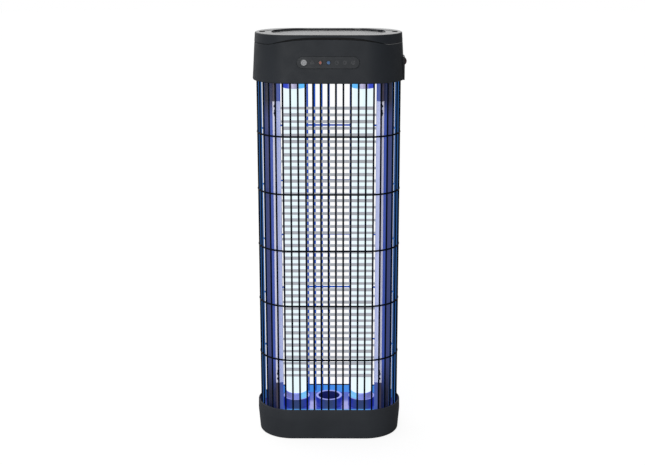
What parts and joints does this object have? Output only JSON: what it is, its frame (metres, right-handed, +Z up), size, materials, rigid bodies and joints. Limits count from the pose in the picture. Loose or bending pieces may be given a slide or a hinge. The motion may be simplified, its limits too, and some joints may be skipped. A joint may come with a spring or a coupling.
{
  "type": "electric bug zapper",
  "caption": "Upright electric bug zapper with stadium plan: wire guard around tube lamps and a comb grid, dark head with touch panel and folding handle, base tub with pull-out tray.",
  "frame": {"origin": "centre of the underside of the base, on the floor", "axes": "+Z up, -Y the front with the control panel, +X the side with the mains switch"},
  "size_m": [0.1751, 0.0868, 0.48],
  "materials": {
    "housing": "satin moulded plastic",
    "guard": "powder coat",
    "column": "moulded",
    "chassis": "moulded",
    "grid_metal": "drawn",
    "board": "moulded",
    "steel": "zinc plated",
    "lamp_glass": "phosphor coated tube glass",
    "lamp_metal": "polished",
    "holder": "moulded",
    "panel": "polished",
    "silver": "satin",
    "red_lens": "translucent",
    "blue_lens": "translucent",
    "circuit": "solder resist",
    "potting": "cast resin",
    "copper": "wound core",
    "rubber": "moulded",
    "cable": "cable sheath",
    "switch": "polished",
    "tray": "moulded"
  },
  "bodies": {
    "frame": {"base_housing": "housing", "board_screw_bottom_left": "potting", "board_screw_bottom_right": "potting", "board_screw_top_left": "potting", "board_screw_top_right": "potting", "column_left": "column", "column_right": "column", "control_board": "circuit", "control_panel": "panel", "driver_capacitor": "potting", "driver_transformer": "copper", "foot_front_left": "rubber", "foot_front_right": "rubber", "foot_rear_left": "rubber", "foot_rear_right": "rubber", "grid_board_left": "board", "grid_board_right": "board", "grid_bracket_bottom_left": "column", "grid_bracket_bottom_right": "column", "grid_bracket_top_left": "column", "grid_bracket_top_right": "column", "head_screw_front_left": "steel", "head_screw_front_right": "steel", "head_screw_rear_left": "steel", "head_screw_rear_right": "steel", "head_shell": "housing", "hv_electrode_live": "grid_metal", "hv_electrode_return": "grid_metal", "hv_module": "potting", "indicator_blue": "blue_lens", "indicator_red": "red_lens", "lamp_cable_left": "cable", "lamp_cable_right": "cable", "lamp_driver_board": "circuit", "lamp_holder_bottom_left": "holder", "lamp_holder_bottom_right": "holder", "lamp_holder_top_left": "holder", "lamp_holder_top_right": "holder", "outer_cage": "guard", "power_socket": "potting", "side_switch_plate": "panel", "socket_plate": "chassis", "tact_switch": "potting", "tie_nut_left": "steel", "tie_nut_right": "steel", "tie_rod_left": "steel", "tie_rod_right": "steel", "top_cover": "housing", "upper_plate": "chassis"},
    "handle": {"carry_handle": "steel"},
    "rocker": {"rocker_switch": "switch"},
    "button": {"power_button": "silver"},
    "drawer": {"collection_drawer": "tray"},
    "lamp_left": {"lamp_tube_left": "lamp_glass", "lamp_cap_bottom_left": "lamp_metal", "lamp_cap_top_left": "lamp_metal"},
    "lamp_right": {"lamp_tube_right": "lamp_glass", "lamp_cap_bottom_right": "lamp_metal", "lamp_cap_top_right": "lamp_metal"}
  },
  "joints": [
    {"name": "handle_fold", "type": "hinge", "parent": "frame", "child": "handle", "pos_m": [0, 0, 0.4778], "axis": [1, 0, 0], "range_deg": [0, 90]},
    {"name": "rocker_tilt", "type": "hinge", "parent": "frame", "child": "rocker", "pos_m": [0.0846, 0, 0.447], "axis": [0, 1, 0], "range_deg": [-14, 0]},
    {"name": "button_press", "type": "slide", "parent": "frame", "child": "button", "axis": [0, 1, 0], "range_m": [0, 0.0007], "stiffness_N_per_m": 150},
    {"name": "drawer_slide", "type": "slide", "parent": "frame", "child": "drawer", "axis": [0, 1, 0], "range_m": [0, 0.06]},
    {"name": "lamp_turn_left", "type": "hinge", "parent": "frame", "child": "lamp_left", "pos_m": [-0.0394, 0, 0.2315], "axis": [0, 0, 1], "range_deg": [0, 90]},
    {"name": "lamp_turn_right", "type": "hinge", "parent": "frame", "child": "lamp_right", "pos_m": [0.0394, 0, 0.2315], "axis": [0, 0, 1], "range_deg": [0, 90]}
  ]
}
